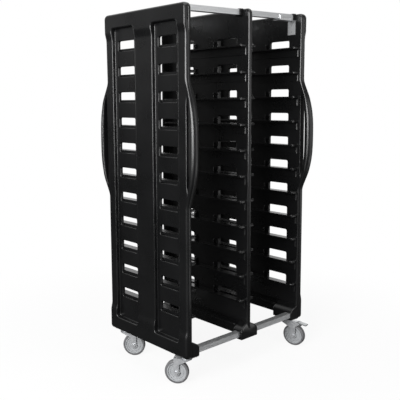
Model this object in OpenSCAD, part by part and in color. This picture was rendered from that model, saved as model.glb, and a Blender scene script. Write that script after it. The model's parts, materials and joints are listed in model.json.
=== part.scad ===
// Tray return trolley: two bays of tray levels between three upright panels, on four swivel casters.
// Units are millimetres. X is the width, +Y points to the rear and +Z is up.
// The origin is on the floor under the middle of the trolley.

/* [Overall] */
// Width over the outer faces of the end panels
overall_w = 870; // [820:1:960]
// Depth over the front and rear grips
overall_d = 690; // [660:1:740]
// Height from the floor to the top of the panels
overall_h = 1760; // [1720:1:1850]

/* [Panels] */
// Thickness of an end panel at its top and bottom bands
end_panel_t = 42; // [38:1:50]
// Thickness of the middle panel
middle_panel_t = 24; // [20:1:40]
// Radius of the panels' top corners
top_corner_r = 25; // [10:1:34]
// How far an end panel's main face lies behind its two bands
face_recess = 8; // [4:1:12]
// Height of the top band
top_band_h = 86; // [75:1:150]
// Height of the bottom band
bottom_band_h = 96; // [80:1:150]
// Height of the slope between a band and the main face
band_slope_h = 46; // [10:1:60]

/* [Troughs and windows] */
// Width of the rib between the two upright troughs in an end panel's outer face
trough_rib = 127; // [90:1:140]
// Panel left between a trough and the panel's edge
trough_side_margin = 57; // [45:1:70]
// Wall between a trough's floor and the panel's inner face
trough_wall = 16; // [6:1:20]
// Panel left above each trough
trough_top_margin = 70; // [55:1:100]
// Panel left below each trough
trough_low_margin = 71; // [60:1:100]
// Radius of a trough's corners
trough_r = 16; // [6:1:30]
// Trough floor left at each side of a window
window_side_margin = 24; // [18:1:34]
// Height of each window
window_h = 50; // [30:1:54]
// How far a window reaches below the ledge in front of it
window_drop = 12; // [6:1:18]
// Radius of a window's corners
window_r = 8; // [3:1:14]

/* [Tray runners] */
// Number of tray levels in each bay
levels = 12; // [8:1:12]
// Distance from the top of the panels down to the highest ledge
top_ledge_drop = 170; // [150:1:200]
// Height of the lowest ledge above the panels' lower edge
low_ledge_rise = 69; // [66:1:90]
// How far a runner stands out from its panel
runner_reach = 38; // [30:1:44]
// Height of a runner's upright nose
runner_nose = 7; // [4:1:12]
// Height of a runner where it meets its panel
runner_h = 46; // [38:1:60]
// Thickness of a runner's leg, which lies against its panel
runner_wall = 7; // [4:1:10]
// Radius between a runner's ledge and its leg
runner_fillet = 10; // [4:1:16]
// Gap between a runner's end and the panel's edge
runner_end_gap = 17; // [8:1:24]
// Largest radius of a runner's free corners, seen from above
runner_r = 8; // [4:1:16]
// Thickness of the upright stop behind each column of runners
stop_t = 12; // [8:1:14]

/* [Grips] */
// How far a grip bows out from its panel's edge
grip_reach = 55; // [48:1:70]
// Length of each grip along the panel's edge
grip_len = 580; // [520:1:660]
// Height of the grips' middle above the floor
grip_z = 1140; // [1050:1:1220]
// Length of the hand slot between grip and panel
slot_len = 453; // [380:1:470]
// Width of the hand slot at its middle
slot_w = 22; // [18:1:28]

/* [Feet] */
// How far a foot reaches inwards from its panel
foot_reach = 48; // [40:1:60]
// Height of a foot where it meets its panel
foot_h = 76; // [72:1:100]
// Height of a foot at its inner end
foot_end_h = 44; // [42:1:54]
// Height of a foot's shoulder, between its steep and its shallow slope
foot_shoulder_h = 58; // [55:1:70]
// Length of the steep slope, measured inwards
foot_shoulder_run = 12; // [6:1:20]
// Length of an end panel's foot along the panel's edge
end_foot_d = 124; // [110:1:150]
// Length of a middle panel's foot along the panel's edge
middle_foot_d = 52; // [50:1:90]
// Gap between a foot and the panel's front or rear edge
foot_edge_gap = 4; // [2:1:8]

/* [Cross bars] */
// Depth of a bar, front to rear
bar_d = 30; // [24:1:34]
// Height of a bar
bar_h = 26; // [20:1:28]
// Wall thickness of a bar
bar_wall = 2.5; // [2:0.1:4]
// Number of grooves along a bar's front and rear face
grooves = 3; // [1:1:4]
// Width of a groove
groove_w = 2; // [1:0.5:3]
// Depth of a groove
groove_depth = 0.8; // [0.4:0.1:1.2]
// Distance from the panels' edge to the outer face of a top bar
top_bar_setback = 45; // [32:1:60]
// Distance from the panels' top to the top of a top bar
top_bar_drop = 3; // [2:1:10]
// Distance from the panels' edge to the outer face of a bottom bar
low_bar_setback = 13; // [8:1:16]
// Height of a bottom bar above the panels' lower edge
low_bar_rise = 14; // [13:1:15]
// Length of the socket around each end of a top bar
socket_len = 23; // [15:1:30]
// Wall thickness at the front and rear of such a socket
socket_wall = 5; // [3:1:8]
// Thickness of a socket's floor under the bar
socket_floor = 3; // [2:0.5:5]

/* [Corner bracket] */
// Thickness of the bracket's sheet
bracket_t = 3; // [2:0.5:4]
// Width of the bracket, front to rear
bracket_w = 45; // [40:1:55]
// Height of the leg on the end panel
bracket_drop = 72; // [50:1:90]
// Length of the lip in front of the bar
bracket_run = 100; // [60:1:140]
// Height of the slot along the lip
bracket_slot_h = 3; // [2:0.5:5]

/* [Casters] */
// Diameter of a wheel over its tyre
wheel_d = 115; // [108:1:120]
// Width of a wheel
wheel_w = 30; // [26:1:34]
// Distance from a swivel axis back to its wheel's axle
trail = 45; // [40:1:48]
// Distance from an end panel's outer face in to a swivel axis
caster_inset_x = 55; // [52:1:58]
// Distance from the panels' edge in to a swivel axis
caster_inset_y = 62; // [58:1:64]
// Height from the top of a wheel to the fork's crown
wheel_top_gap = 9; // [8:1:12]
// Thickness of a fork's crown
crown_t = 4; // [3:0.5:6]
// Diameter of a fork's crown
crown_d = 56; // [50:1:60]
// Height of the swivel race on the crown
race_h = 14.7; // [12:0.1:18]
// Diameter of the swivel race
race_d = 44; // [36:1:48]
// Thickness of the top plate
plate_t = 3; // [2.5:0.5:5]
// Width of the top plate, across the panel
plate_w = 70; // [68:1:74]
// Length of the top plate, along the panel
plate_l = 100; // [96:1:104]
// Distance between the plate's bolts, across the panel
bolt_spacing_x = 52; // [50:1:54]
// Distance between the plate's bolts, along the panel
bolt_spacing_y = 76; // [70:1:80]
// Diameter of the plate's bolts
bolt_d = 8; // [6:1:8]
// Diameter of a swivel's kingpin
kingpin_d = 12; // [10:1:14]
// How far below its crown a fork's leg starts to widen
fork_knee = 26; // [20:1:32]
// Thickness of a fork's leg
fork_t = 3; // [2.5:0.5:4]
// Gap between a wheel's hub and a fork's leg
hub_gap = 0.3; // [0.3:0.1:1]
// How far a hub stands out past each side of the tyre
hub_proud = 3.2; // [2:0.1:5]
// Diameter of an axle
axle_d = 10; // [8:1:12]
// Thickness of a tyre, measured outwards
tyre_t = 10; // [7:1:14]
// Diameter of a wheel's hub
hub_d = 34; // [30:1:38]
// Outer diameter of a wheel's bearing
bearing_d = 22; // [20:1:24]
// Width of a wheel's bearing
bearing_w = 7; // [5:1:9]
// Direction in which the front left wheel trails, in degrees from +X
front_left_turn = 125; // [0:1:359]
// Direction in which the front right wheel trails
front_right_turn = 283; // [0:1:359]
// Direction in which the rear left wheel trails
rear_left_turn = 310; // [0:1:359]
// Direction in which the rear right wheel trails
rear_right_turn = 299; // [0:1:359]

/* [Brakes] */
// Distance from an axle back to the pedal's pivot
pedal_setback = 25; // [24:1:28]
// How far the pedal reaches past its pivot
pedal_reach = 46; // [36:1:48]
// Width of the pedal's tread
pedal_w = 30; // [24:1:34]
// Thickness of the pedal's tread
pedal_t = 5; // [4:0.5:6]
// Diameter of the pedal's pin
pedal_pin_d = 6; // [5:0.5:7]

/* [Hidden] */
$fn = 96;
// Play around a bar in its socket, and beside pieces that only stand next to each other
seat_gap = 0.2;
// Running clearance on the radius of a pin or shaft
run_gap = 0.08;
// Clearance on the radius of a bolt or a pressed ring
fit_gap = 0.05;
// Gap between faces that turn past each other
turn_gap = 0.3;
// How far a cut runs past the face it opens
cut = 1;

wheel_r = wheel_d / 2;
crown_low_z = wheel_d + wheel_top_gap;
crown_z = crown_low_z + crown_t;
plate_low_z = crown_z + race_h + turn_gap;
panel_z = plate_low_z + plate_t;
panel_h = overall_h - panel_z;
panel_d = overall_d - 2 * grip_reach;
edge_y = panel_d / 2;
outer_x = overall_w / 2;
end_face_x = outer_x - end_panel_t;
middle_face_x = middle_panel_t / 2;
main_t = end_panel_t - face_recess;
trough_w = (panel_d - trough_rib) / 2 - trough_side_margin;
trough_spacing = trough_w + trough_rib;
window_w = trough_w - 2 * window_side_margin;

pitch = (panel_h - top_ledge_drop - low_ledge_rise) / (levels - 1);
function ledge_z(level) = overall_h - top_ledge_drop - level * pitch;
runner_root = 3;
runner_corner_r = min(runner_r, runner_reach - runner_root);
runner_half = edge_y - runner_end_gap;

grip_points = 48;
// Share of the full reach at a place along the grip, from 0 at its middle to 1 at its end
function grip_bow(u) = pow(1 - pow(abs(u), 3), 1.6);
function slot_bow(u) = pow(1 - pow(abs(u), 3), 0.8);

foot_wall = 8;
top_bar_y = edge_y - top_bar_setback - bar_d / 2;
top_bar_z = overall_h - top_bar_drop - bar_h;
low_bar_y = edge_y - low_bar_setback - bar_d / 2;
low_bar_z = panel_z + low_bar_rise;

socket_z = top_bar_z - socket_floor;
bracket_z = socket_z - seat_gap;
bracket_front_y = -(top_bar_y + bar_d / 2 + seat_gap + bracket_t);
bracket_screw_r = 2.5;
bracket_screw_len = 9;
bracket_head_r = 4.5;
bracket_head_h = 2;

caster_x = outer_x - caster_inset_x;
caster_y = edge_y - caster_inset_y;
race_waist = 4;
bolt_depth = 12;
bolt_head_r = bolt_d * 0.8;
bolt_head_h = bolt_d * 0.65;
rivet_r = kingpin_d * 0.8;
rivet_h = 6;
hub_half = wheel_w / 2 + hub_proud;
leg_y = hub_half + hub_gap;
axle_boss_r = 13;
crown_back = crown_d * 0.36;
nut_h = 6;
nut_r = axle_d * 0.9;
bore_gap = 2;
bore_r = axle_d / 2 + bore_gap;
rim_t = 6;
rim_inset = 2;
rim_half = wheel_w / 2 - rim_inset;
web_inset = 7;
web_half = wheel_w / 2 - web_inset;
web_ring_t = 4;
web_ring_h = 2;
tyre_in_r = wheel_r - tyre_t;
tyre_edge_r = 6;

pivot_x = trail + pedal_setback;
pivot_z = crown_low_z;
pedal_hub_wall = 4;
pedal_hub_r = pedal_pin_d / 2 + pedal_hub_wall;
ear_margin = 1;
ear_r = pedal_hub_r + ear_margin;
pedal_hub_half = leg_y - turn_gap;
pedal_tip_z = 2;
pedal_taper = 1;
shoe_inset = 2;
shoe_w = wheel_w - 2 * shoe_inset;
shoe_out = 15;
shoe_drop = 12;
shoe_heel = 4;
pin_head_h = 2;
pin_head_margin = 2;

// Sides of the four casters: left or right, front or rear, and the way the wheel trails
front_left = [-1, -1, front_left_turn];
front_right = [1, -1, front_right_turn];
rear_left = [-1, 1, rear_left_turn];
rear_right = [1, 1, rear_right_turn];

black_plastic = [0.10, 0.10, 0.11];
aluminium = [0.76, 0.77, 0.78];
zinc = [0.70, 0.71, 0.72];
wheel_grey = [0.64, 0.65, 0.66];
tyre_grey = [0.36, 0.37, 0.38];

// Shared shapes

module rounded_rect(w, h, r) {
  square([w, h - 2 * r], center = true);
  square([w - 2 * r, h], center = true);
  for (sx = [-1, 1], sy = [-1, 1])
    translate([sx * (w / 2 - r), sy * (h / 2 - r)])
      circle(r);
}

// Draws a shape given in Y and Z and gives it a thickness along X
module along_x(x, t) {
  translate([x, 0, 0])
    rotate([90, 0, 90])
      linear_extrude(t)
        children();
}

// Draws a shape given in X and Z and gives it a length along Y
module along_y(y, t) {
  translate([0, y + t, 0])
    rotate([90, 0, 0])
      linear_extrude(t)
        children();
}

module place(side) {
  mirror([side < 0 ? 1 : 0, 0, 0])
    children();
}

module place_end(end) {
  mirror([0, end > 0 ? 1 : 0, 0])
    children();
}

// Panels

module panel_outline() {
  translate([-edge_y, panel_z])
    square([panel_d, panel_h - top_corner_r]);
  translate([-edge_y + top_corner_r, panel_z])
    square([panel_d - 2 * top_corner_r, panel_h]);
  for (s = [-1, 1])
    translate([s * (edge_y - top_corner_r), overall_h - top_corner_r])
      circle(top_corner_r);
}

module window_cuts(x, t) {
  for (level = [0 : levels - 2], s = [-1, 1])
    along_x(x - cut, t + 2 * cut)
      translate([s * trough_spacing / 2, ledge_z(level) + window_h / 2 - window_drop])
        rounded_rect(window_w, window_h, window_r);
}

module trough_cuts() {
  trough_h = panel_h - trough_top_margin - trough_low_margin;
  for (s = [-1, 1])
    along_x(end_face_x + trough_wall, end_panel_t)
      translate([s * trough_spacing / 2, panel_z + trough_low_margin + trough_h / 2])
        rounded_rect(trough_w, trough_h, trough_r);
}

module main_face_cut() {
  low = panel_z + bottom_band_h;
  high = overall_h - top_band_h;
  main_x = outer_x - face_recess;
  along_y(-edge_y - cut, panel_d + 2 * cut)
    polygon([
      [outer_x, low], [main_x, low + band_slope_h], [main_x, high - band_slope_h],
      [outer_x, high], [outer_x + cut, high], [outer_x + cut, low]
    ]);
}

// Places for the plate bolts under the right end panel, in both casters
module bolt_places(end) {
  for (sx = [-1, 1], sy = [-1, 1])
    translate([caster_x + sx * bolt_spacing_x / 2, end * caster_y + sy * bolt_spacing_y / 2, 0])
      children();
}

module bolt_hole_cuts(end) {
  bolt_places(end)
    translate([0, 0, panel_z - cut])
      cylinder(h = bolt_depth + cut, r = bolt_d / 2 + fit_gap);
}

module end_panel() {
  difference() {
    along_x(end_face_x, end_panel_t)
      panel_outline();
    main_face_cut();
    trough_cuts();
    window_cuts(end_face_x, trough_wall);
    bolt_hole_cuts(-1);
    bolt_hole_cuts(1);
  }
}

module left_panel() {
  color(black_plastic)
    place(-1)
      end_panel();
}

module right_panel() {
  color(black_plastic)
    difference() {
      end_panel();
      bracket_screw_places()
        cylinder(h = bracket_screw_len + cut, r = bracket_screw_r + fit_gap);
    }
}

module middle_panel() {
  color(black_plastic)
    difference() {
      along_x(-middle_face_x, middle_panel_t)
        panel_outline();
      window_cuts(-middle_face_x, middle_panel_t);
    }
}

// Tray runners, drawn on a panel face at X = 0 and standing out towards -X

module runner_plan(half) {
  straight = half - runner_corner_r;
  root = runner_reach - runner_corner_r;
  translate([-runner_reach, -straight])
    square([runner_reach, 2 * straight]);
  translate([-root, -half])
    square([root, 2 * half]);
  for (s = [-1, 1])
    translate([-root, s * straight])
      circle(runner_corner_r);
}

// A ledge with a leg down its panel and a rounded corner between them
module runner_profile(z) {
  open_w = runner_reach - runner_wall + cut;
  open_h = runner_h - runner_nose + cut;
  difference() {
    translate([-runner_reach, z - runner_h])
      square([runner_reach, runner_h]);
    translate([-runner_reach - cut, z - runner_h - cut]) {
      square([open_w - runner_fillet, open_h]);
      square([open_w, open_h - runner_fillet]);
      translate([open_w - runner_fillet, open_h - runner_fillet])
        circle(runner_fillet);
    }
  }
}

module runner(z, half) {
  intersection() {
    along_y(-half, 2 * half)
      runner_profile(z);
    translate([0, 0, z - runner_h - cut])
      linear_extrude(runner_h + 2 * cut)
        runner_plan(half);
  }
}

// The lowest runner ends at the feet
module runner_column(foot_d) {
  foot_half = edge_y - foot_edge_gap - foot_d - seat_gap;
  for (level = [0 : levels - 1])
    runner(ledge_z(level), level == levels - 1 ? foot_half : runner_half);
}

// Keeps the trays from sliding out at the rear
module rear_stop() {
  low = panel_z + foot_h + seat_gap;
  translate([-runner_reach, edge_y - stop_t, low])
    cube([runner_reach, stop_t, overall_h - trough_top_margin - low]);
}

module end_runners(side) {
  color(black_plastic)
    place(side)
      translate([end_face_x, 0, 0]) {
        runner_column(end_foot_d);
        rear_stop();
      }
}

module middle_runners() {
  color(black_plastic)
    for (side = [-1, 1])
      place(side)
        translate([-middle_face_x, 0, 0]) {
          runner_column(middle_foot_d);
          rear_stop();
        }
}

// Grips, flush with the bands on the panels' outer faces

module grip(side, end) {
  outer = [
    for (i = [0 : grip_points])
      let (u = 2 * i / grip_points - 1)
        [-edge_y - grip_reach * grip_bow(u), grip_z + u * grip_len / 2]
  ];
  inner = [
    for (i = [grip_points : -1 : 0])
      let (u = 2 * i / grip_points - 1)
        [-edge_y - slot_w * slot_bow(u), grip_z + u * slot_len / 2]
  ];
  color(black_plastic)
    place(side)
      place_end(end)
        along_x(outer_x - main_t, main_t)
          polygon(concat(outer, inner));
}

// Feet, drawn on a panel face at X = 0 and standing out towards -X

module foot_profile() {
  shoulder_x = foot_shoulder_run - foot_reach;
  polygon([
    [0, panel_z], [-foot_reach, panel_z], [-foot_reach, panel_z + foot_end_h],
    [shoulder_x, panel_z + foot_shoulder_h], [0, panel_z + foot_h]
  ]);
}

module foot(foot_d) {
  difference() {
    along_y(-edge_y + foot_edge_gap, foot_d)
      foot_profile();
    along_x(-foot_reach - cut, foot_reach - foot_wall + cut)
      translate([-low_bar_y, low_bar_z + bar_h / 2])
        square([bar_d + 2 * seat_gap, bar_h + 2 * seat_gap], center = true);
  }
}

module end_foot(side, end) {
  color(black_plastic)
    place(side)
      place_end(end)
        difference() {
          translate([end_face_x, 0, 0])
            foot(end_foot_d);
          bolt_hole_cuts(-1);
        }
}

module middle_foot(end) {
  color(black_plastic)
    place_end(end)
      for (side = [-1, 1])
        place(side)
          translate([-middle_face_x, 0, 0])
            foot(middle_foot_d);
}

// Cross bars

module bar_section() {
  difference() {
    square([bar_d, bar_h], center = true);
    square([bar_d - 2 * (bar_wall + groove_depth), bar_h - 2 * bar_wall], center = true);
    for (i = [1 : grooves], s = [-1, 1])
      translate([s * bar_d / 2, bar_h * (i / (grooves + 1) - 0.5)])
        square([2 * groove_depth, groove_w], center = true);
  }
}

module top_bar(side, end) {
  color(aluminium)
    place(side)
      along_x(middle_face_x, end_face_x - middle_face_x)
        translate([end * top_bar_y, top_bar_z + bar_h / 2])
          bar_section();
}

module low_bar(side, end) {
  color(aluminium)
    place(side)
      along_x(middle_face_x + foot_wall, end_face_x - middle_face_x - 2 * foot_wall)
        translate([end * low_bar_y, low_bar_z + bar_h / 2])
          bar_section();
}

module top_socket(end) {
  width = bar_d + 2 * socket_wall;
  along_x(0, socket_len)
    translate([end * top_bar_y, 0])
      difference() {
        translate([-width / 2, socket_z])
          square([width, overall_h - socket_z]);
        translate([0, top_bar_z + bar_h / 2])
          square([bar_d + 2 * seat_gap, bar_h + 2 * seat_gap], center = true);
      }
}

module top_bar_sockets() {
  color(black_plastic)
    for (side = [-1, 1], end = [-1, 1])
      place(side) {
        translate([middle_face_x, 0, 0])
          top_socket(end);
        translate([end_face_x - socket_len, 0, 0])
          top_socket(end);
      }
}

// Corner bracket at the front of the right bay

module bracket_screw_places() {
  mid_y = bracket_front_y + bracket_w / 2;
  for (drop = [0.35, 0.8])
    translate([end_face_x - bracket_t, mid_y, bracket_z - drop * bracket_drop])
      rotate([0, 90, 0])
        children();
}

module corner_bracket() {
  lip_end = end_face_x - socket_len - seat_gap;
  lip_h = top_bar_z + bar_h * 0.8 - bracket_z;
  color(aluminium)
    difference() {
      union() {
        translate([end_face_x - bracket_t, bracket_front_y, bracket_z - bracket_drop])
          cube([bracket_t, bracket_w, bracket_drop]);
        translate([lip_end - bracket_run, bracket_front_y, bracket_z - bracket_t])
          cube([end_face_x - lip_end + bracket_run, bracket_w, bracket_t]);
        translate([lip_end - bracket_run, bracket_front_y, bracket_z - bracket_t])
          cube([bracket_run, bracket_t, lip_h + bracket_t]);
      }
      translate([lip_end - bracket_run * 0.9, bracket_front_y - cut, bracket_z + lip_h * 0.4])
        cube([bracket_run * 0.8, bracket_t + 2 * cut, bracket_slot_h]);
      bracket_screw_places() {
        translate([0, 0, -cut])
          cylinder(h = bracket_t + 2 * cut, r = bracket_screw_r + fit_gap);
        translate([0, 0, -cut])
          cylinder(h = bracket_head_h + cut, r = bracket_head_r + fit_gap);
      }
    }
}

module bracket_screws() {
  color(zinc)
    bracket_screw_places() {
      cylinder(h = bracket_head_h, r = bracket_head_r);
      cylinder(h = bracket_screw_len, r = bracket_screw_r);
    }
}

// Casters, drawn with the swivel axis at the origin and the wheel trailing towards +X

module at_caster(corner) {
  translate([corner[0] * caster_x, corner[1] * caster_y, 0])
    children();
}

module at_swivel(corner) {
  at_caster(corner)
    rotate([0, 0, corner[2]])
      children();
}

module at_axle(corner) {
  at_swivel(corner)
    translate([trail, 0, wheel_r])
      rotate([90, 0, 0])
        children();
}

// The top plate carries the riveted kingpin
module caster_plate(corner) {
  rivet_z = crown_low_z - turn_gap - rivet_h;
  color(zinc)
    at_caster(corner) {
      difference() {
        translate([-plate_w / 2, -plate_l / 2, plate_low_z])
          cube([plate_w, plate_l, plate_t]);
        for (sx = [-1, 1], sy = [-1, 1])
          translate([sx * bolt_spacing_x / 2, sy * bolt_spacing_y / 2, plate_low_z - cut])
            cylinder(h = plate_t + 2 * cut, r = bolt_d / 2 + fit_gap);
      }
      translate([0, 0, rivet_z])
        cylinder(h = plate_low_z + plate_t / 2 - rivet_z, r = kingpin_d / 2);
      translate([0, 0, rivet_z])
        cylinder(h = rivet_h, r = rivet_r);
    }
}

module caster_bolts() {
  color(zinc)
    for (side = [-1, 1], end = [-1, 1])
      place(side)
        bolt_places(end) {
          translate([0, 0, plate_low_z - bolt_head_h])
            cylinder(h = bolt_head_h, r = bolt_head_r);
          translate([0, 0, plate_low_z - bolt_head_h])
            cylinder(h = bolt_head_h + plate_t + bolt_depth - cut, r = bolt_d / 2);
        }
}

module fork_leg_profile(braked) {
  polygon([
    [-crown_back, crown_z], [trail + axle_boss_r, crown_z],
    [trail + axle_boss_r, wheel_r], [trail - axle_boss_r, wheel_r],
    [trail - axle_boss_r, crown_low_z - fork_knee], [-crown_back, crown_low_z]
  ]);
  translate([trail, wheel_r])
    circle(axle_boss_r);
  if (braked) {
    polygon([
      [trail, crown_z], [pivot_x, pivot_z + ear_r], [pivot_x, pivot_z - ear_r],
      [trail + axle_boss_r, crown_low_z - 2 * ear_r], [trail, crown_low_z - 2 * ear_r]
    ]);
    translate([pivot_x, pivot_z])
      circle(ear_r);
  }
}

module fork(corner, braked) {
  width = 2 * (leg_y + fork_t);
  color(zinc)
    at_swivel(corner)
      difference() {
        union() {
          translate([0, 0, crown_low_z])
            cylinder(h = crown_t, r = crown_d / 2);
          translate([-crown_back, -width / 2, crown_low_z])
            cube([trail + axle_boss_r + crown_back, width, crown_t]);
          for (y = [-leg_y - fork_t, leg_y])
            along_y(y, fork_t)
              fork_leg_profile(braked);
        }
        translate([0, 0, crown_low_z - cut])
          cylinder(h = crown_t + 2 * cut, r = kingpin_d / 2 + run_gap);
        translate([trail, width / 2 + cut, wheel_r])
          rotate([90, 0, 0])
            cylinder(h = width + 2 * cut, r = axle_d / 2 + fit_gap);
        if (braked)
          translate([pivot_x, width / 2 + cut, pivot_z])
            rotate([90, 0, 0])
              cylinder(h = width + 2 * cut, r = pedal_pin_d / 2 + fit_gap);
      }
}

module swivel_race(corner) {
  waist_r = race_d / 2 - race_waist;
  color(zinc)
    at_swivel(corner)
      translate([0, 0, crown_z])
        difference() {
          union() {
            cylinder(h = race_h / 3, r = race_d / 2);
            cylinder(h = race_h, r = waist_r);
            translate([0, 0, race_h * 2 / 3])
              cylinder(h = race_h / 3, r = race_d / 2);
          }
          translate([0, 0, -cut])
            cylinder(h = race_h + 2 * cut, r = kingpin_d / 2 + run_gap);
        }
}

// The axle bolt, drawn with its nut done up
module axle(corner) {
  half = leg_y + fork_t;
  color(zinc)
    at_axle(corner) {
      translate([0, 0, -half - nut_h])
        cylinder(h = 2 * (half + nut_h), r = axle_d / 2);
      for (z = [-half - nut_h, half])
        translate([0, 0, z])
          cylinder(h = nut_h, r = nut_r, $fn = 6);
    }
}

module tyre(corner) {
  color(tyre_grey)
    at_axle(corner)
      rotate_extrude()
        intersection() {
          translate([tyre_in_r, 0])
            rounded_rect(2 * tyre_t, wheel_w, tyre_edge_r);
          translate([tyre_in_r, -wheel_w / 2])
            square([tyre_t, wheel_w]);
        }
}

module wheel_centre(corner) {
  rim_r = tyre_in_r - seat_gap;
  ring_r = (rim_r + hub_d / 2) / 2;
  color(wheel_grey)
    at_axle(corner)
      rotate_extrude()
        difference() {
          union() {
            translate([bore_r, -web_half])
              square([rim_r - bore_r, 2 * web_half]);
            translate([rim_r - rim_t, -rim_half])
              square([rim_t, 2 * rim_half]);
            translate([ring_r - web_ring_t / 2, -web_half - web_ring_h])
              square([web_ring_t, 2 * (web_half + web_ring_h)]);
            translate([bore_r, -hub_half])
              square([hub_d / 2 - bore_r, 2 * hub_half]);
          }
          for (z = [-hub_half - cut, hub_half - bearing_w])
            translate([0, z])
              square([bearing_d / 2 + fit_gap, bearing_w + cut]);
        }
}

module wheel_bearings(corner) {
  color(zinc)
    at_axle(corner)
      for (z = [-hub_half, hub_half - bearing_w])
        translate([0, 0, z])
          difference() {
            cylinder(h = bearing_w, r = bearing_d / 2);
            translate([0, 0, -cut])
              cylinder(h = bearing_w + 2 * cut, r = axle_d / 2 + run_gap);
          }
}

// Brakes

module pedal_profile() {
  neck = pedal_reach * 0.3;
  neck_z = pedal_hub_r - pedal_taper;
  translate([pivot_x, pivot_z]) {
    circle(pedal_hub_r);
    polygon([
      [0, pedal_hub_r], [neck, neck_z], [pedal_reach - pedal_taper, pedal_tip_z],
      [pedal_reach, pedal_tip_z - pedal_t], [pedal_reach - pedal_t, pedal_tip_z - pedal_t],
      [neck, neck_z - pedal_t], [0, 0]
    ]);
  }
}

module shoe_profile() {
  translate([pivot_x, pivot_z])
    polygon([
      [0, 0], [shoe_out - pedal_taper, pedal_tip_z], [shoe_out, pedal_taper - shoe_drop],
      [shoe_out - shoe_heel, -shoe_drop], [shoe_out / 4, -shoe_drop / 2]
    ]);
}

module brake_pedal(corner) {
  color(zinc)
    at_swivel(corner)
      difference() {
        union() {
          along_y(-pedal_w / 2, pedal_w)
            pedal_profile();
          along_y(-shoe_w / 2, shoe_w)
            shoe_profile();
          along_y(-pedal_hub_half, 2 * pedal_hub_half)
            translate([pivot_x, pivot_z])
              circle(pedal_hub_r);
        }
        along_y(-pedal_hub_half - cut, 2 * (pedal_hub_half + cut))
          translate([pivot_x, pivot_z])
            circle(pedal_pin_d / 2 + run_gap);
      }
}

module pedal_pin(corner) {
  half = leg_y + fork_t;
  head_r = pedal_pin_d / 2 + pin_head_margin;
  color(zinc)
    at_swivel(corner) {
      along_y(-half - pin_head_h, 2 * (half + pin_head_h))
        translate([pivot_x, pivot_z])
          circle(pedal_pin_d / 2);
      for (y = [-half - pin_head_h, half])
        along_y(y, pin_head_h)
          translate([pivot_x, pivot_z])
            circle(head_r);
    }
}

left_panel();
middle_panel();
right_panel();
end_runners(-1);  // left_runners
middle_runners();
end_runners(1);  // right_runners
grip(-1, -1);  // left_front_grip
grip(-1, 1);  // left_rear_grip
grip(1, -1);  // right_front_grip
grip(1, 1);  // right_rear_grip
end_foot(-1, -1);  // left_front_foot
end_foot(-1, 1);  // left_rear_foot
middle_foot(-1);  // middle_front_foot
middle_foot(1);  // middle_rear_foot
end_foot(1, -1);  // right_front_foot
end_foot(1, 1);  // right_rear_foot
top_bar(-1, -1);  // left_front_top_bar
top_bar(-1, 1);  // left_rear_top_bar
top_bar(1, -1);  // right_front_top_bar
top_bar(1, 1);  // right_rear_top_bar
low_bar(-1, -1);  // left_front_low_bar
low_bar(-1, 1);  // left_rear_low_bar
low_bar(1, -1);  // right_front_low_bar
low_bar(1, 1);  // right_rear_low_bar
top_bar_sockets();
corner_bracket();
bracket_screws();
caster_bolts();
caster_plate(front_left);  // front_left_plate
caster_plate(front_right);  // front_right_plate
caster_plate(rear_left);  // rear_left_plate
caster_plate(rear_right);  // rear_right_plate
fork(front_left, false);  // front_left_fork
fork(front_right, true);  // front_right_fork
fork(rear_left, false);  // rear_left_fork
fork(rear_right, true);  // rear_right_fork
swivel_race(front_left);  // front_left_race
swivel_race(front_right);  // front_right_race
swivel_race(rear_left);  // rear_left_race
swivel_race(rear_right);  // rear_right_race
axle(front_left);  // front_left_axle
axle(front_right);  // front_right_axle
axle(rear_left);  // rear_left_axle
axle(rear_right);  // rear_right_axle
tyre(front_left);  // front_left_tyre
tyre(front_right);  // front_right_tyre
tyre(rear_left);  // rear_left_tyre
tyre(rear_right);  // rear_right_tyre
wheel_centre(front_left);  // front_left_wheel
wheel_centre(front_right);  // front_right_wheel
wheel_centre(rear_left);  // rear_left_wheel
wheel_centre(rear_right);  // rear_right_wheel
wheel_bearings(front_left);  // front_left_bearings
wheel_bearings(front_right);  // front_right_bearings
wheel_bearings(rear_left);  // rear_left_bearings
wheel_bearings(rear_right);  // rear_right_bearings
brake_pedal(front_right);  // front_right_pedal
brake_pedal(rear_right);  // rear_right_pedal
pedal_pin(front_right);  // front_right_pedal_pin
pedal_pin(rear_right);  // rear_right_pedal_pin
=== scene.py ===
import json
import math

import bmesh
import bpy
from mathutils import Matrix, Vector
from mathutils.geometry import delaunay_2d_cdt


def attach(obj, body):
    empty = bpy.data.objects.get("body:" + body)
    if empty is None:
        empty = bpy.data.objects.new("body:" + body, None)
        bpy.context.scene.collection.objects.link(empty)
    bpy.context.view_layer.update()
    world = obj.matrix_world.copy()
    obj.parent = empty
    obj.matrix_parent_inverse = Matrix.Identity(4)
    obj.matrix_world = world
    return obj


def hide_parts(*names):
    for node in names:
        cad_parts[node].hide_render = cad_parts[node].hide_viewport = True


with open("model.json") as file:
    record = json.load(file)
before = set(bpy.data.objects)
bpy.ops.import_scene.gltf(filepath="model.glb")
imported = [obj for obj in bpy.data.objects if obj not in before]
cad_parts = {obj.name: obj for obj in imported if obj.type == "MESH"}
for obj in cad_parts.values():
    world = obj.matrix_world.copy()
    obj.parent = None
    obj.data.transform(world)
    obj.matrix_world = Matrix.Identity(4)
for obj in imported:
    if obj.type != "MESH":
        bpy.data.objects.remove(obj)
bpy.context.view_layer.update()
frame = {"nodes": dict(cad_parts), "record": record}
nodes = frame["nodes"]
record = frame["record"]
MM = 0.001

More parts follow.
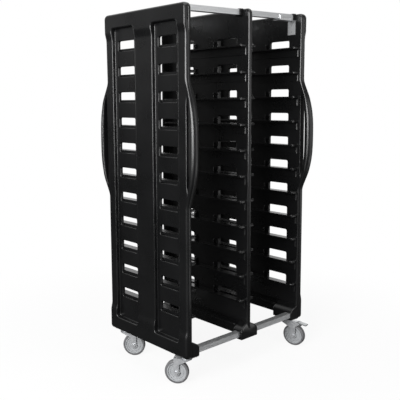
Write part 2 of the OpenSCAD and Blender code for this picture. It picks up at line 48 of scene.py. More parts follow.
# Sizes shared with the CAD part, in millimetres
END_FACE_X = 393.0
OUTER_X = 435.0
MIDDLE_FACE_X = 12.0
EDGE_Y = 290.0
PANEL_Z = 146.0
TOP_Z = 1760.0
TOP_CORNER_R = 25.0
LOW_CORNER_R = 19.0
FACE_RECESS = 8.0
LOW_BAND = 96.0
TOP_BAND = 86.0
BAND_SLOPE = 46.0
LOW_STEP = (PANEL_Z + LOW_BAND, PANEL_Z + LOW_BAND + BAND_SLOPE)
HIGH_STEP = (TOP_Z - TOP_BAND - BAND_SLOPE, TOP_Z - TOP_BAND)
TROUGH_FLOOR_X = 409.0
TROUGH_W = 169.5
TROUGH_Y = 148.25
TROUGH_Z = (217.0, 1690.0)
TROUGH_R = 16.0
WINDOW_W = 121.5
WINDOW_H = 50.0
WINDOW_R = 8.0
WINDOW_DROP = 12.0
TOP_LEDGE_Z = 1590.0
LEDGE_PITCH = 125.0
LEDGE_COUNT = 12
LEDGES = [TOP_LEDGE_Z - LEDGE_PITCH * level for level in range(LEDGE_COUNT)]
RUNNER_REACH = 38.0
RUNNER_NOSE = 7.0
RUNNER_H = 46.0
RUNNER_R = 8.0
RUNNER_HALF = 273.0
RUNNER_WALL = 7.0
RUNNER_FILLET = 10.0
REAR_STOP_Y = (278.0, 287.5)
REAR_STOP_Z = (222.2, 1690.0)
GRIP_REACH = 55.0
GRIP_Z = 1140.0
GRIP_HALF = 290.0
SLOT_HALF = 226.5
SLOT_W = 22.0
FOOT_REACH = 48.0
FOOT_H = 76.0
FOOT_END_H = 44.0
FOOT_SHOULDER_H = 58.0
FOOT_SHOULDER_RUN = 12.0
FOOT_FRONT = 286.0
END_FOOT_D = 124.0
MIDDLE_FOOT_D = 52.0
FOOT_GAP = 0.2

# Radii of the moulded edges, which the CAD part leaves square
EDGE_R = 17.0
MIDDLE_EDGE_R = 11.5
LIP_R = 6.0
FLOOR_R = 4.0
WINDOW_LIP_R = 3.0
SLOT_LIP_R = 8.0
SLOT_INNER_LIP_R = 2.5

# Change of those radii along the height; each fade is a distance from the grips' middle
GRIP_GAIN = 0.4
GRIP_FADE = (60.0, 170.0)
SLOT_END_LOSS = 0.42
SLOT_END_START = (150.0, 200.0)
SLOT_END_STOP = (245.0, 310.0)
TOP_BAND_LOSS = 0.45
SLOT_LIP_LOSS = 0.6
SLOT_LIP_FADE = (120.0, 210.0)

# Small forms of the mouldings
RECESS_X = (412.0, 426.0)
GRIP_FLARE = 12.0
FLARE_Y = (EDGE_Y - 15, EDGE_Y + 20)
SLOT_BACK = 2.0
SLOT_BACK_GAP = 3.0
GROOVE_X = 414.0
GROOVE_HALF = 4.0
GROOVE_DEPTH = 5.0
GROOVE_Z = (1636.0, 1744.0)
GROOVE_LOW_FADE = 8.0
GROOVE_TOP_FADE = 6.0
WALL_SINK = 1.0
RUNNER_END_TAPER = 0.85
RIDGE_R = 8.0
RIDGE_RISE = 6.0
RIDGE_SINK = 2.0
RIDGE_BACK = 9.0
RIDGE_TAPER = ((-WALL_SINK, 1.0), (32.0, 1.0), (35.5, 0.8), (37.0, 0.45))
RIB_HALF = 2.5
RIB_RISE = 27.0
RIB_REACH = 10.0
RIB_TIP = 4.0
RIB_TIP_BACK = 3.0
RIB_Y = TROUGH_Y - TROUGH_W / 2 + 1
REAR_STOP_SINK = 10.0
FOOT_SINK = 8.0
END_FOOT_BACK = 3.0
MIDDLE_FOOT_LOW_H = FOOT_END_H + 2
MIDDLE_FOOT_FRONT = FOOT_FRONT + 5
MIDDLE_FOOT_NOSE = 9.0

# Segments of the curves
LOW_CORNER_STEPS = 4
TOP_CORNER_STEPS = 8
GRIP_STEPS = 56
SLOT_STEPS = 44
SLOT_BACK_STEPS = 12
TROUGH_CORNER_STEPS = 5
WINDOW_CORNER_STEPS = 4
EDGE_STEPS = 4
GROOVE_STEPS = 4
BAND_ROWS = 10
FILLET_STEPS = 6
RUNNER_END_STEPS = 8
RIDGE_STEPS = 8

# Powers that shape the bow of a grip and of its hand slot
GRIP_BOW = 1.6
SLOT_BOW = 0.8

# Limits: corner reach of an inset, angle of an edge to soften in degrees, gaps to close in metres
SHARPEST_MITRE = 0.4
SOFT_ANGLE = 30.0
CAP_GAP = 1e-7
CUT_GAP = 1e-6

# Parts of a shell that shade flat
ZONE_OUTER, ZONE_INNER, ZONE_FLOOR = 1, 2, 3


# Outlines in the panel's plane, as lists of (y, z), anticlockwise


def arc(middle_y, middle_z, radius, start, end, steps):
    """Points on an arc between two angles in degrees."""
    points = []
    for i in range(steps + 1):
        angle = math.radians(start + (end - start) * i / steps)
        points.append((middle_y + radius * math.cos(angle), middle_z + radius * math.sin(angle)))
    return points


def rounded_rect(middle_y, middle_z, width, height, radius, steps):
    y, z = width / 2 - radius, height / 2 - radius
    return (
        arc(middle_y - y, middle_z - z, radius, 180, 270, steps)
        + arc(middle_y + y, middle_z - z, radius, 270, 360, steps)
        + arc(middle_y + y, middle_z + z, radius, 0, 90, steps)
        + arc(middle_y - y, middle_z + z, radius, 90, 180, steps)
    )


def bow(u, power):
    """Bulge of a grip or a hand slot: 1 in its middle, 0 at its ends, where u is 1 or -1."""
    return (1 - abs(u) ** 3) ** power


def other_end(points):
    """The same outline at the opposite end of the panel."""
    return [(-y, z) for y, z in reversed(points)]


def grip_outline():
    points = []
    for i in range(GRIP_STEPS + 1):
        u = 2 * i / GRIP_STEPS - 1
        points.append((EDGE_Y + GRIP_REACH * bow(u, GRIP_BOW), GRIP_Z + u * GRIP_HALF))
    return points


def panel_outline(with_grips):
    low_y, low_z = EDGE_Y - LOW_CORNER_R, PANEL_Z + LOW_CORNER_R
    top_y, top_z = EDGE_Y - TOP_CORNER_R, TOP_Z - TOP_CORNER_R
    grip = grip_outline() if with_grips else []
    return (
        arc(-low_y, low_z, LOW_CORNER_R, 180, 270, LOW_CORNER_STEPS)
        + arc(low_y, low_z, LOW_CORNER_R, 270, 360, LOW_CORNER_STEPS)
        + grip
        + arc(top_y, top_z, TOP_CORNER_R, 0, 90, TOP_CORNER_STEPS)
        + arc(-top_y, top_z, TOP_CORNER_R, 90, 180, TOP_CORNER_STEPS)
        + other_end(grip)
    )


def slot_outline(end):
    """Hand slot: a bowed side along the grip and a straight side along the panel."""
    points = []
    for i in range(1, SLOT_STEPS):
        u = math.sin(math.pi * (i / SLOT_STEPS - 0.5))
        points.append((EDGE_Y + SLOT_W * bow(u, SLOT_BOW), GRIP_Z + u * SLOT_HALF))
    for i in range(1, SLOT_BACK_STEPS):
        u = 1 - 2 * i / SLOT_BACK_STEPS
        points.append((EDGE_Y - SLOT_BACK, GRIP_Z + u * (SLOT_HALF - SLOT_BACK_GAP)))
    return points if end > 0 else other_end(points)


def window_outlines(side_y):
    outlines = []
    for ledge in LEDGES[:-1]:
        middle_z = ledge + WINDOW_H / 2 - WINDOW_DROP
        outlines.append(rounded_rect(side_y, middle_z, WINDOW_W, WINDOW_H, WINDOW_R, WINDOW_CORNER_STEPS))
    return outlines


def smooth_share(value, start, end):
    t = min(1.0, max(0.0, (value - start) / (end - start)))
    return t * t * (3 - 2 * t)


def edge_share(z):
    """Share of the edge radius at height z: more on the grips, less at slot ends and on the top band."""
    away = abs(z - GRIP_Z)
    grip = 1 - smooth_share(away, *GRIP_FADE)
    slot_end = smooth_share(away, *SLOT_END_START) * (1 - smooth_share(away, *SLOT_END_STOP))
    top_band = smooth_share(z, *HIGH_STEP)
    return 1 + GRIP_GAIN * grip - SLOT_END_LOSS * slot_end - TOP_BAND_LOSS * top_band


def lip_share(z):
    """Share of a hand slot's lip radius at height z: less at the slot's ends."""
    return 1 - SLOT_LIP_LOSS * smooth_share(abs(z - GRIP_Z), *SLOT_LIP_FADE)


def inward(start, end):
    """Unit normal on the inner side of an outline's line from start to end."""
    along = Vector((end[0] - start[0], end[1] - start[1])).normalized()
    return Vector((-along.y, along.x))


def inset(points, distance, share=None):
    """Moves an outline inwards, or outwards by a distance below 0; share changes it with height."""
    moved = []
    for i, (y, z) in enumerate(points):
        normal_before = inward(points[i - 1], (y, z))
        normal_after = inward((y, z), points[(i + 1) % len(points)])
        middle = (normal_before + normal_after).normalized()
        distance_here = distance * (share(z) if share else 1)
        reach = distance_here / max(SHARPEST_MITRE, middle.dot(normal_before))
        moved.append((y + middle.x * reach, z + middle.y * reach))
    return moved


# Moulded panels


class Shell:
    """A closed skin made of rings that follow an outline, joined by strips and flat caps."""

    def __init__(self):
        self.bm = bmesh.new()
        self.zone = self.bm.faces.layers.int.new("zone")

    def ring(self, points, x):
        return [self.bm.verts.new((x * MM, y * MM, z * MM)) for y, z in points]

    def strip(self, a, b):
        for i in range(len(a)):
            j = (i + 1) % len(a)
            self.bm.faces.new((a[i], a[j], b[j], b[i]))

    def sleeve(self, points, steps, share=None):
        """Joins rings of one outline at a list of (x, inset); returns the first and last ring."""
        rings = [self.ring(inset(points, d, share), x) for x, d in steps]
        for a, b in zip(rings, rings[1:]):
            self.strip(a, b)
        return rings[0], rings[-1]

    def cap(self, rings, zone):
        """Fills the flat face inside the first ring and outside the others."""
        spots, edges, verts, owners = [], [], [], []
        for number, ring in enumerate(rings):
            first = len(spots)
            for i, v in enumerate(ring):
                spots.append(Vector((v.co.y, v.co.z)))
                edges.append((first + i, first + (i + 1) % len(ring)))
                verts.append(v)
                owners.append(number)
        result = delaunay_2d_cdt(spots, edges, [], 1, CAP_GAP)
        faces, origins = result[2], result[3]
        for face in faces:
            corners = [origins[i][0] for i in face]
            touched = {owners[i] for i in corners}
            if len(touched) == 1 and touched != {0}:
                continue
            made = self.bm.faces.new([verts[i] for i in corners])
            made[self.zone] = zone


def quarter():
    """Angles of a quarter turn."""
    return [math.radians(90 * i / EDGE_STEPS) for i in range(EDGE_STEPS + 1)]


def edge_steps(low_x, high_x, low_r, high_r, sign):
    """Rounded edge from a face at low_x to one at high_x; sign is 1 on an outside edge, -1 round a hole."""
    steps = [(low_x + low_r * (1 - math.cos(a)), sign * low_r * (1 - math.sin(a))) for a in quarter()]
    steps += [(high_x - high_r * (1 - math.sin(a)), sign * high_r * (1 - math.cos(a))) for a in quarter()]
    return steps


def grooved_edge_steps():
    """Edge of an end panel, with the extra rings that its header groove needs."""
    steps = edge_steps(END_FACE_X, OUTER_X, EDGE_R, EDGE_R, 1)
    places = range(-GROOVE_STEPS, GROOVE_STEPS + 1)
    groove = [(GROOVE_X + GROOVE_HALF * i / GROOVE_STEPS, 0.0) for i in places]
    middle = len(steps) // 2
    return steps[:middle] + groove + steps[middle:]


def trough_steps():
    """Rounded lip and rounded floor of a trough."""
    steps = [(OUTER_X - LIP_R * (1 - math.cos(a)), -LIP_R * (1 - math.sin(a))) for a in quarter()]
    for a in quarter():
        steps.append((TROUGH_FLOOR_X + FLOOR_R * (1 - math.sin(a)), FLOOR_R * (1 - math.cos(a))))
    return steps


def face_recess(z):
    """How far an end panel's outer face lies behind its bands at height z."""
    return FACE_RECESS * smooth_share(z, *LOW_STEP) * (1 - smooth_share(z, *HIGH_STEP))


def groove_depth(x, z):
    """Depth of the upright groove in the header's front and rear edge."""
    across = min(1.0, abs(x - GROOVE_X) / GROOVE_HALF)
    low, high = GROOVE_Z
    begun = smooth_share(z, low - GROOVE_LOW_FADE, low + GROOVE_LOW_FADE)
    ended = smooth_share(z, high - GROOVE_TOP_FADE, high + GROOVE_TOP_FADE)
    return GROOVE_DEPTH * begun * (1 - ended) * (0.5 + 0.5 * math.cos(math.pi * across))


def grip_flare(y, z):
    """How far a grip leans outwards from its panel's main face."""
    u = min(1.0, abs(z - GRIP_Z) / GRIP_HALF)
    return GRIP_FLARE * bow(u, GRIP_BOW) * smooth_share(abs(y), *FLARE_Y)


def cut_rows():
    """Heights at which the shell needs rows of points for its bands and its groove."""
    rows = []
    for low, high in (LOW_STEP, HIGH_STEP):
        rows += [low + (high - low) * i / BAND_ROWS for i in range(BAND_ROWS + 1)]
    rows += [GROOVE_Z[0] - GROOVE_LOW_FADE, GROOVE_Z[1] - GROOVE_TOP_FADE, GROOVE_Z[1]]
    return sorted(rows)


def shape_outer_side(bm):
    """Sets the main face back between the bands, leans the grips outwards and presses in the groove."""
    for z in cut_rows():
        geom = bm.verts[:] + bm.edges[:] + bm.faces[:]
        bmesh.ops.bisect_plane(bm, geom=geom, plane_co=(0, 0, z * MM), plane_no=(0, 0, 1), dist=CUT_GAP)
    near, far = RECESS_X
    for v in bm.verts:
        x, y, z = (c / MM for c in v.co)
        if abs(y) > EDGE_Y - 1:
            v.co.y -= math.copysign(groove_depth(x, z), y) * MM
        share = min(1.0, max(0.0, (x - near) / (far - near)))
        across = (x - END_FACE_X) / (OUTER_X - END_FACE_X)
        v.co.x += (across * grip_flare(y, z) - share * face_recess(z)) * MM


def outer_normal(z):
    """Normal of an end panel's outer face, from its recess half a millimetre above and below."""
    slope = face_recess(z + 0.5) - face_recess(z - 0.5)
    return Vector((1, 0, slope)).normalized()


def finish_shell(shell, name, banded, mirrored):
    """Turns a shell into an object whose flat faces shade flat and whose edges shade round."""
    bm = shell.bm
    if banded:
        shape_outer_side(bm)
    bmesh.ops.recalc_face_normals(bm, faces=bm.faces[:])
    normals = []
    for v in bm.verts:
        zones = {f[shell.zone] for f in v.link_faces}
        if ZONE_OUTER in zones:
            normal = outer_normal(v.co.z / MM) if banded else Vector((1, 0, 0))
        elif ZONE_INNER in zones:
            normal = Vector((-1, 0, 0))
        elif ZONE_FLOOR in zones:
            normal = Vector((1, 0, 0))
        else:
            normal = v.normal.copy()
        normals.append(normal)
    if mirrored:
        for v in bm.verts:
            v.co.x = -v.co.x
        bmesh.ops.reverse_faces(bm, faces=bm.faces[:])
        normals = [Vector((-n.x, n.y, n.z)) for n in normals]
    mesh = bpy.data.meshes.new(name)
    bm.to_mesh(mesh)
    bm.free()
    mesh.shade_smooth()
    mesh.normals_split_custom_set_from_vertices(normals)
    obj = bpy.data.objects.new(name, mesh)
    bpy.context.scene.collection.objects.link(obj)
    return obj


def end_panel(name, mirrored):
    """End panel with its two grips, hand slots, troughs and windows."""
    shell = Shell()
    inner, outer, floors = [], [], {-1: [], 1: []}
    first, last = shell.sleeve(panel_outline(True), grooved_edge_steps(), edge_share)
    inner.append(first)
    outer.append(last)
    for side in (-1, 1):
        lips = edge_steps(END_FACE_X, OUTER_X, SLOT_INNER_LIP_R, SLOT_LIP_R, -1)
        first, last = shell.sleeve(slot_outline(side), lips, lip_share)
        inner.append(first)
        outer.append(last)
    low, high = TROUGH_Z
    middle_z, height = (low + high) / 2, high - low
    for side in (-1, 1):
        side_y = side * TROUGH_Y
        outline = rounded_rect(side_y, middle_z, TROUGH_W, height, TROUGH_R, TROUGH_CORNER_STEPS)
        first, last = shell.sleeve(outline, trough_steps())
        outer.append(first)
        floors[side].append(last)
        for outline in window_outlines(side_y):
            lips = edge_steps(END_FACE_X, TROUGH_FLOOR_X, WINDOW_LIP_R, WINDOW_LIP_R, -1)
            first, last = shell.sleeve(outline, lips)
            inner.append(first)
            floors[side].append(last)
    shell.cap(inner, ZONE_INNER)
    shell.cap(outer, ZONE_OUTER)
    for side in (-1, 1):
        shell.cap(floors[side], ZONE_FLOOR)
    return finish_shell(shell, name, True, mirrored)


def middle_panel(name):
    """Plain panel with windows."""
    shell = Shell()
    inner, outer = [], []
    edges = edge_steps(-MIDDLE_FACE_X, MIDDLE_FACE_X, MIDDLE_EDGE_R, MIDDLE_EDGE_R, 1)
    first, last = shell.sleeve(panel_outline(False), edges)
    inner.append(first)
    outer.append(last)
    for side in (-1, 1):
        for outline in window_outlines(side * TROUGH_Y):
            lips = edge_steps(-MIDDLE_FACE_X, MIDDLE_FACE_X, WINDOW_LIP_R, WINDOW_LIP_R, -1)
            first, last = shell.sleeve(outline, lips)
            inner.append(first)
            outer.append(last)
    shell.cap(inner, ZONE_INNER)
    shell.cap(outer, ZONE_OUTER)
    return finish_shell(shell, name, False, False)


# Runners and feet


def soften(obj, width, segments):
    """Rounds the edges of a plain mesh."""
    bevel = obj.modifiers.new("soft edges", "BEVEL")
    bevel.width = width * MM
    bevel.segments = segments
    bevel.limit_method = "ANGLE"
    bevel.angle_limit = math.radians(SOFT_ANGLE)
    bevel.harden_normals = True
    obj.data.shade_smooth()


def mesh_object(name, bm):
    bmesh.ops.recalc_face_normals(bm, faces=bm.faces[:])
    mesh = bpy.data.meshes.new(name)
    bm.to_mesh(mesh)
    bm.free()
    obj = bpy.data.objects.new(name, mesh)
    bpy.context.scene.collection.objects.link(obj)
    return obj


def loft(bm, sections):
    """Closed skin through rings of points with equal counts."""
    rings = [[bm.verts.new([c * MM for c in p]) for p in section] for section in sections]
    for a, b in zip(rings, rings[1:]):
        for i in range(len(a)):
            j = (i + 1) % len(a)
            bm.faces.new((a[i], a[j], b[j], b[i]))
    bm.faces.new(rings[0])
    bm.faces.new(list(reversed(rings[-1])))


def runner_profile(reach, wall):
    """Ledge with a leg down the wall, as (distance from the wall, depth below the ledge)."""
    points = [(-WALL_SINK, 0.0), (reach, 0.0), (reach, RUNNER_NOSE)]
    for i in range(FILLET_STEPS + 1):
        a = math.radians(90 * i / FILLET_STEPS)
        out = wall + RUNNER_FILLET * (1 - math.sin(a))
        points.append((out, RUNNER_NOSE + RUNNER_FILLET * (1 - math.cos(a))))
    return points + [(wall, RUNNER_H), (-WALL_SINK, RUNNER_H)]


def add_runner(bm, face_x, way, ledge, half):
    """Ledge with rounded ends on a panel face; way is the side of the face it stands out to."""
    stations = []
    for i in range(RUNNER_END_STEPS + 1):
        a = math.radians(90 * (1 - i / RUNNER_END_STEPS))
        back = 1 - math.cos(a)
        stations.append((-(half - RUNNER_R) - RUNNER_R * math.sin(a), back))
    stations += [(-y, back) for y, back in reversed(stations)]
    sections = []
    for y, back in stations:
        reach = RUNNER_REACH - RUNNER_R * back
        wall = RUNNER_WALL * (1 - RUNNER_END_TAPER * back)
        profile = runner_profile(reach, wall)
        sections.append([(face_x + way * out, y, ledge - depth) for out, depth in profile])
    loft(bm, sections)


def add_ridge(bm, face_x, way, ledge, y):
    """Low rounded ridge across a ledge, thinner towards its free end."""
    sections = []
    for out, share in RIDGE_TAPER:
        ring = []
        for i in range(RIDGE_STEPS + 1):
            a = math.radians(180 * i / RIDGE_STEPS)
            rise = (RIDGE_RISE + RIDGE_SINK) * share * math.sin(a)
            ring.append((face_x + way * out, y + RIDGE_R * share * math.cos(a), ledge - RIDGE_SINK + rise))
        sections.append(ring)
    loft(bm, sections)


def add_rib(bm, face_x, way, ledge, y):
    """Short upright rib on the wall beside a window."""
    tip = ledge + RIB_RISE
    levels = (
        (ledge - WALL_SINK, RIB_REACH),
        (tip - RIB_TIP, RIB_REACH),
        (tip, RIB_REACH - RIB_TIP_BACK),
    )
    sections = []
    for z, reach in levels:
        corners = (
            (-WALL_SINK, -RIB_HALF),
            (reach, -RIB_HALF),
            (reach, RIB_HALF),
            (-WALL_SINK, RIB_HALF),
        )
        sections.append([(face_x + way * out, y + along, z) for out, along in corners])
    loft(bm, sections)


def add_rear_stop(bm, face_x, way):
    """Upright wall behind a column of ledges."""
    near, far = REAR_STOP_Y
    root, tip = face_x - way * REAR_STOP_SINK, face_x + way * RUNNER_REACH
    ring = [(root, near), (tip, near), (tip, far), (root, far)]
    loft(bm, [[(x, y, z) for x, y in ring] for z in REAR_STOP_Z])


def runners(name, faces):
    """faces is a list of (face x, side it stands out to, half length of the lowest runner)."""
    bm = bmesh.new()
    for face_x, way, low_half in faces:
        for ledge in LEDGES:
            half = low_half if ledge == LEDGES[-1] else RUNNER_HALF
            add_runner(bm, face_x, way, ledge, half)
        add_rear_stop(bm, face_x, way)
    obj = mesh_object(name, bm)
    soften(obj, width=3.0, segments=3)
    return obj


def ledge_details(name, faces):
    """Ridges and ribs; faces is a list of (face x, side it stands out to)."""
    bm = bmesh.new()
    for face_x, way in faces:
        for ledge in LEDGES[:-1]:
            add_ridge(bm, face_x, way, ledge, RIDGE_BACK - RUNNER_HALF)
            for side in (-1, 1):
                add_rib(bm, face_x, way, ledge, side * RIB_Y)
    obj = mesh_object(name, bm)
    soften(obj, width=1.0, segments=2)
    return obj


def foot_block(name, sections):
    """Block through (y, outline) sections, each outline a list of (x, z)."""
    bm = bmesh.new()
    loft(bm, [[(x, y, z) for x, z in outline] for y, outline in sections])
    obj = mesh_object(name, bm)
    soften(obj, width=5.0, segments=4)
    return obj


def foot_slopes(face_x, height):
    """Sloped side of a foot from its inner end up to the panel face, cut off at a height."""
    inner = face_x - FOOT_REACH
    shoulder = inner + FOOT_SHOULDER_RUN
    rises = [(inner, 0.0), (inner, FOOT_END_H), (shoulder, FOOT_SHOULDER_H), (face_x, FOOT_H)]
    return [(x, PANEL_Z + min(rise, height)) for x, rise in rises]


def end_foot(name, side, way):
    """Foot of an end panel; it stays a little behind the panel's rounded edge."""
    root = END_FACE_X + FOOT_SINK
    slopes = foot_slopes(END_FACE_X, FOOT_H)
    outline = [(side * x, z) for x, z in slopes + [(root, PANEL_Z + FOOT_H), (root, PANEL_Z)]]
    front, back = FOOT_FRONT - END_FOOT_BACK, FOOT_FRONT - END_FOOT_D
    return foot_block(name, [(way * front, outline), (way * back, outline)])


def middle_foot(name, way):
    """Foot on both sides of the middle panel: low at the front, sloped behind the panel's edge."""
    outlines = []
    for height in (MIDDLE_FOOT_LOW_H, FOOT_H):
        half = foot_slopes(-MIDDLE_FACE_X, height)
        outlines.append(half + [(-x, z) for x, z in reversed(half)])
    low, full = outlines
    front, back = MIDDLE_FOOT_FRONT, FOOT_FRONT - MIDDLE_FOOT_D
    nose = front - MIDDLE_FOOT_NOSE
    return foot_block(name, [(way * front, low), (way * nose, full), (way * back, full)])


# Materials


class Nodes:
    """A node tree with short ways to add and link nodes."""

    def __init__(self, tree):
        self.tree = tree

    def add(self, kind, **values):
        """Adds a node; each value is one of its settings or one of its inputs."""
        made = self.tree.nodes.new(kind)
        for key, value in values.items():
            if hasattr(made, key):
                setattr(made, key, value)
            else:
                made.inputs[key].default_value = value
        return made

    def link(self, source, target):
        self.tree.links.new(source, target)

    def combine(self, operation, a, b):
        made = self.add("ShaderNodeMath", operation=operation)
        self.link(a, made.inputs[0])
        self.link(b, made.inputs[1])
        return made.outputs[0]

    def mix(self, share, first, second):
        made = self.add("ShaderNodeMixShader")
        self.link(share, made.inputs["Fac"])
        self.link(first.outputs[0], made.inputs[1])
        self.link(second.outputs[0], made.inputs[2])
        return made.outputs[0]

    def spread(self, factor, low, high, start=0.0, end=1.0, kind="LINEAR"):
        """Maps a value from start and end to low and high."""
        made = self.add("ShaderNodeMapRange", interpolation_type=kind)
        for key, value in (("From Min", start), ("From Max", end), ("To Min", low), ("To Max", high)):
            made.inputs[key].default_value = value
        self.link(factor, made.inputs["Value"])
        return made.outputs["Result"]


class Finish(Nodes):
    """A material built round one principled shader."""

    def __init__(self, name):
        self.material = bpy.data.materials.new(name)
        self.material.use_nodes = True
        super().__init__(self.material.node_tree)
        self.shader = self.tree.nodes["Principled BSDF"]

    def coords(self, scale=(1, 1, 1)):
        spot = self.add("ShaderNodeTexCoord")
        mapping = self.add("ShaderNodeMapping")
        mapping.inputs["Scale"].default_value = scale
        self.link(spot.outputs["Object"], mapping.inputs["Vector"])
        return mapping.outputs["Vector"]

    def noise(self, vector, scale, detail=4.0):
        made = self.add("ShaderNodeTexNoise", Scale=scale, Detail=detail)
        self.link(vector, made.inputs["Vector"])
        return made.outputs["Fac"]

    def colour(self, factor, low, high, start=0.3, end=0.7):
        """Base colour that runs from low to high."""
        made = self.add("ShaderNodeValToRGB")
        first, last = made.color_ramp.elements
        first.position, last.position = start, end
        first.color, last.color = (*low, 1), (*high, 1)
        self.link(factor, made.inputs["Fac"])
        self.link(made.outputs["Color"], self.shader.inputs["Base Color"])

    def roughness(self, factor, low, high):
        self.link(self.spread(factor, low, high), self.shader.inputs["Roughness"])

    def bump(self, height, strength, distance):
        made = self.add("ShaderNodeBump", Strength=strength, Distance=distance)
        self.link(height, made.inputs["Height"])
        self.link(made.outputs["Normal"], self.shader.inputs["Normal"])

    def metallic(self, value):
        self.shader.inputs["Metallic"].default_value = value


def black_plastic():
    """Satin moulded polymer with a fine grain."""
    finish = Finish("black_plastic")
    spot = finish.coords()
    cloud = finish.noise(spot, scale=7.0)
    finish.colour(cloud, low=(0.0026, 0.0027, 0.0029), high=(0.0046, 0.0047, 0.0050))
    finish.roughness(cloud, low=0.24, high=0.32)
    finish.bump(finish.noise(spot, scale=650.0, detail=2.0), strength=0.03, distance=0.0004)
    return finish.material


def aluminium():
    """Extruded bar with fine draw lines along X."""
    finish = Finish("aluminium")
    lines = finish.noise(finish.coords(scale=(4, 900, 900)), scale=1.0, detail=3.0)
    finish.colour(lines, low=(0.72, 0.73, 0.74), high=(0.86, 0.87, 0.88))
    finish.roughness(lines, low=0.36, high=0.46)
    finish.bump(lines, strength=0.08, distance=0.0003)
    finish.metallic(0.95)
    return finish.material


def zinc(name, low, high):
    """Zinc-plated pressed steel with a faint spangle."""
    finish = Finish(name)
    spot = finish.coords()
    cloud = finish.noise(spot, scale=45.0)
    finish.colour(cloud, low, high)
    finish.roughness(cloud, low=0.36, high=0.50)
    finish.bump(finish.noise(spot, scale=300.0, detail=2.0), strength=0.05, distance=0.0003)
    finish.metallic(0.7)
    return finish.material


def wheel_plastic():
    """Pale grey moulded wheel centre."""
    finish = Finish("wheel_plastic")
    spot = finish.coords()
    cloud = finish.noise(spot, scale=30.0)
    finish.colour(cloud, low=(0.31, 0.32, 0.33), high=(0.38, 0.39, 0.40))
    finish.roughness(cloud, low=0.40, high=0.52)
    finish.bump(finish.noise(spot, scale=700.0, detail=2.0), strength=0.08, distance=0.0003)
    return finish.material


def tyre_rubber():
    """Mid grey non-marking rubber."""
    finish = Finish("tyre_rubber")
    spot = finish.coords()
    cloud = finish.noise(spot, scale=60.0)
    finish.colour(cloud, low=(0.105, 0.105, 0.11), high=(0.15, 0.15, 0.155))
    finish.roughness(cloud, low=0.55, high=0.72)
    finish.bump(finish.noise(spot, scale=500.0, detail=2.0), strength=0.15, distance=0.0004)
    return finish.material


def paint(obj, material):
    obj.data.materials.clear()
    obj.data.materials.append(material)


FINISH = {
    "black_plastic": black_plastic(),
    "aluminium": aluminium(),
    "zinc_steel": zinc("zinc_steel", low=(0.50, 0.51, 0.53), high=(0.61, 0.62, 0.63)),
    "wheel_plastic": wheel_plastic(),
    "tyre_rubber": tyre_rubber(),
}

for part in record["subparts"]:
    paint(nodes[part["node"]], FINISH[part["material_slot"]])

# Painted shade: the pedals get a darker copy of the zinc finish, which holds down the lamps' highlight on
# their tops.
shaded_pedal_zinc = zinc("shaded_pedal_zinc", low=(0.22, 0.225, 0.23), high=(0.30, 0.305, 0.31))
for corner in ("front_right", "rear_right"):
    paint(nodes[corner + "_pedal"], shaded_pedal_zinc)


def fit_piece(obj, slot, *replaced):
    """Adds a piece to the trolley's frame, in place of the CAD nodes it stands for."""
    paint(obj, FINISH[slot])
    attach(obj, "frame")
    if replaced:
        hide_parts(*replaced)


for side, mirrored in (("left", True), ("right", False)):
    panel = end_panel(side + "_panel_moulding", mirrored)
    fit_piece(panel, "black_plastic", side + "_panel", side + "_front_grip", side + "_rear_grip")
fit_piece(middle_panel("middle_panel_moulding"), "black_plastic", "middle_panel")

END_LOW_HALF = FOOT_FRONT - END_FOOT_D - FOOT_GAP
MIDDLE_LOW_HALF = FOOT_FRONT - MIDDLE_FOOT_D - FOOT_GAP
RUNNER_FACES = {
    "left": [(-END_FACE_X, 1, END_LOW_HALF)],
    "middle": [(-MIDDLE_FACE_X, -1, MIDDLE_LOW_HALF), (MIDDLE_FACE_X, 1, MIDDLE_LOW_HALF)],
    "right": [(END_FACE_X, -1, END_LOW_HALF)],
}
for side, faces in RUNNER_FACES.items():
    fit_piece(runners(side + "_runner_mouldings", faces), "black_plastic", side + "_runners")
    fit_piece(ledge_details(side + "_ledge_details", [face[:2] for face in faces]), "black_plastic")

for end, way in (("front", -1), ("rear", 1)):
    for side, sign in (("left", -1), ("right", 1)):
        foot = end_foot(f"{side}_{end}_foot_moulding", sign, way)
        fit_piece(foot, "black_plastic", f"{side}_{end}_foot")
    foot = middle_foot(f"middle_{end}_foot_moulding", way)
    fit_piece(foot, "black_plastic", f"middle_{end}_foot")


# Stage, light and camera, in metres


def add_floor():
    """Pale floor that keeps the shadow close to the trolley and fades to white further out."""
    half = 40
    bm = bmesh.new()
    corners = ((-half, -half), (half, -half), (half, half), (-half, half))
    bm.faces.new([bm.verts.new((x, y, 0)) for x, y in corners])
    floor = mesh_object("floor", bm)
    finish = Finish("floor")
    finish.shader.inputs["Roughness"].default_value = 0.8
    seen = finish.add("ShaderNodeLightPath").outputs["Is Camera Ray"]
    finish.colour(seen, low=(0.03, 0.03, 0.03), high=(0.8, 0.8, 0.8), start=0.0, end=1.0)
    away = finish.add("ShaderNodeVectorMath", operation="LENGTH")
    finish.link(finish.add("ShaderNodeTexCoord").outputs["Object"], away.inputs[0])
    fade = finish.spread(
        away.outputs["Value"], low=0.9, high=1.0, start=0.6, end=2.0, kind="SMOOTHSTEP"
    )
    white = finish.add("ShaderNodeEmission", Color=(1, 1, 1, 1), Strength=1.0)
    surface = finish.mix(finish.combine("MULTIPLY", seen, fade), finish.shader, white)
    finish.link(surface, finish.tree.nodes["Material Output"].inputs["Surface"])
    paint(floor, finish.material)


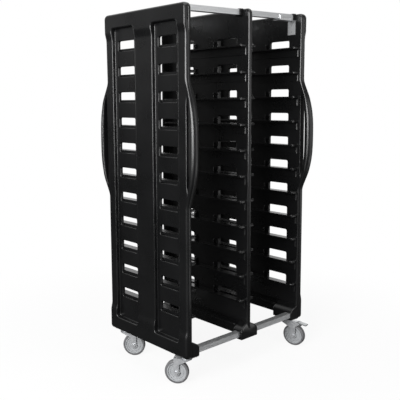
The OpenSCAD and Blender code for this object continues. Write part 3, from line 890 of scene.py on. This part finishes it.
def add_world():
    """White where the camera sees it and for reflections of what lies behind the trolley; dim elsewhere."""
    world = bpy.data.worlds.new("studio")
    bpy.context.scene.world = world
    world.use_nodes = True
    studio = Nodes(world.node_tree)
    studio.tree.nodes.clear()
    path = studio.add("ShaderNodeLightPath")
    facing = studio.add("ShaderNodeVectorMath", operation="DOT_PRODUCT")
    facing.inputs[1].default_value = (0.35, 0.75, 0.55)
    studio.link(studio.add("ShaderNodeTexCoord").outputs["Generated"], facing.inputs[0])
    wall = studio.spread(
        facing.outputs["Value"], low=0.0, high=1.0, start=0.35, end=0.75, kind="SMOOTHSTEP"
    )
    mirrored = studio.combine("MULTIPLY", path.outputs["Is Glossy Ray"], wall)
    white_share = studio.combine("MAXIMUM", path.outputs["Is Camera Ray"], mirrored)
    dim = studio.add("ShaderNodeBackground", Color=(1, 1, 1, 1), Strength=0.16)
    white = studio.add("ShaderNodeBackground", Color=(1, 1, 1, 1), Strength=1.0)
    out = studio.add("ShaderNodeOutputWorld")
    studio.link(studio.mix(white_share, dim, white), out.inputs["Surface"])


def add_lamp(name, place, target, size, power):
    data = bpy.data.lights.new(name, "AREA")
    data.shape = "RECTANGLE"
    data.size, data.size_y = size
    data.energy = power
    lamp = bpy.data.objects.new(name, data)
    lamp.location = place
    lamp.rotation_euler = (Vector(target) - Vector(place)).to_track_quat("-Z", "Y").to_euler()
    bpy.context.scene.collection.objects.link(lamp)


def add_camera(place, turns, focal_px, picture_px, shift):
    """Camera fitted to the photograph; turns are yaw, pitch and roll, and shift is its off-centre crop."""
    yaw, pitch, roll = (math.radians(a) for a in turns)
    forward = Vector((math.sin(yaw) * math.cos(pitch), math.cos(yaw) * math.cos(pitch), -math.sin(pitch)))
    level = Vector((math.cos(yaw), -math.sin(yaw), 0))
    upright = level.cross(forward)
    right = math.cos(roll) * level + math.sin(roll) * upright
    up = -math.sin(roll) * level + math.cos(roll) * upright
    data = bpy.data.cameras.new("camera")
    data.sensor_width = 36
    data.lens = focal_px / picture_px * data.sensor_width
    data.shift_x, data.shift_y = shift
    camera = bpy.data.objects.new("camera", data)
    turn = Matrix((right, up, -forward)).transposed().to_4x4()
    camera.matrix_world = Matrix.Translation(place) @ turn
    bpy.context.scene.collection.objects.link(camera)
    bpy.context.scene.camera = camera


add_floor()
add_world()
add_lamp("key", place=(-3.4, -1.2, 1.9), target=(0, 0, 1.1), size=(1.9, 2.4), power=190)
add_lamp("front", place=(0.3, -4.4, 1.6), target=(0, 0, 0.9), size=(4.0, 2.6), power=40)
add_lamp("fill", place=(2.5, -3.5, 1.6), target=(0, 0, 0.9), size=(2.2, 2.6), power=11)
add_lamp("low", place=(1.3, -2.2, 0.3), target=(0, -0.3, 0.2), size=(1.8, 0.5), power=5)
add_lamp("side", place=(-3.4, 0.5, 1.6), target=(0, 0, 1.0), size=(1.2, 2.4), power=11)
add_lamp("top", place=(-0.5, -1.2, 4.2), target=(0, 0, 0.9), size=(2.4, 2.4), power=45)
add_lamp("rear", place=(0.3, 4.2, 1.9), target=(0, 0, 0.9), size=(4.0, 2.6), power=40)
add_lamp("right", place=(3.6, 0.9, 1.7), target=(0, 0, 1.0), size=(1.9, 2.4), power=25)
add_camera(
    place=(-2.360, -2.277, 1.369),
    turns=(38.06, 7.23, -1.13),
    focal_px=627.9,
    picture_px=400,
    shift=(0.2, -0.065),
)
bpy.context.scene.view_settings.view_transform = "Standard"
